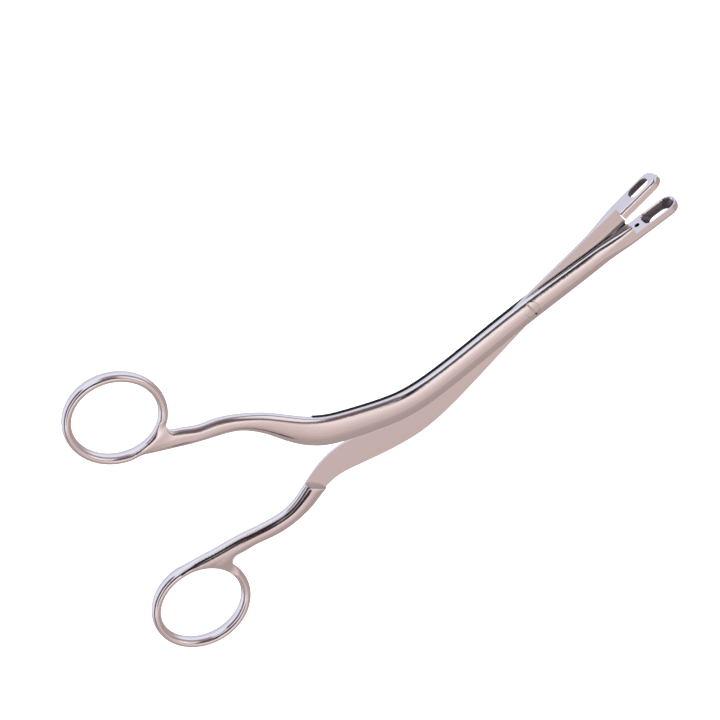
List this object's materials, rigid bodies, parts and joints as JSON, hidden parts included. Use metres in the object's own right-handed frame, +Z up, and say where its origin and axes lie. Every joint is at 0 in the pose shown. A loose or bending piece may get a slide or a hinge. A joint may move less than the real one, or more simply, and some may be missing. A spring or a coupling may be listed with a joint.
{
  "type": "septum cutting forceps",
  "caption": "Ring-handled surgical forceps with long bent shanks, a lapped pivot and small windowed cup jaws that meet to bite through septal bone and cartilage",
  "frame": {"origin": "middle of the bounding box's underside, on the surface that the instrument lies on with the jaws part open", "axes": "+X runs along the front half's lap arm towards the jaws, +Y from the front half's jaw towards the rear half's jaw, and +Z up along the pivot axis, from the rear half to the front half with the screw's slotted head"},
  "size_m": [0.2004, 0.097, 0.0074],
  "materials": {
    "forged_steel": "fine satin, polished along the length",
    "screw_steel": "turned and ground flush"
  },
  "bodies": {
    "front_half": {"front_finger_ring": "forged_steel", "front_shank": "forged_steel", "front_lap_arm": "forged_steel", "front_jaw": "forged_steel"},
    "rear_half": {"rear_finger_ring": "forged_steel", "rear_shank": "forged_steel", "rear_lap_arm": "forged_steel", "rear_jaw": "forged_steel", "pivot_screw": "screw_steel", "guide_pin": "screw_steel"}
  },
  "joints": [
    {"name": "pivot", "type": "hinge", "parent": "front_half", "child": "rear_half", "pos_m": [0.04643, -0.02055, 0.0037], "axis": [0, 0, 1], "range_deg": [-9.3, 15]}
  ]
}
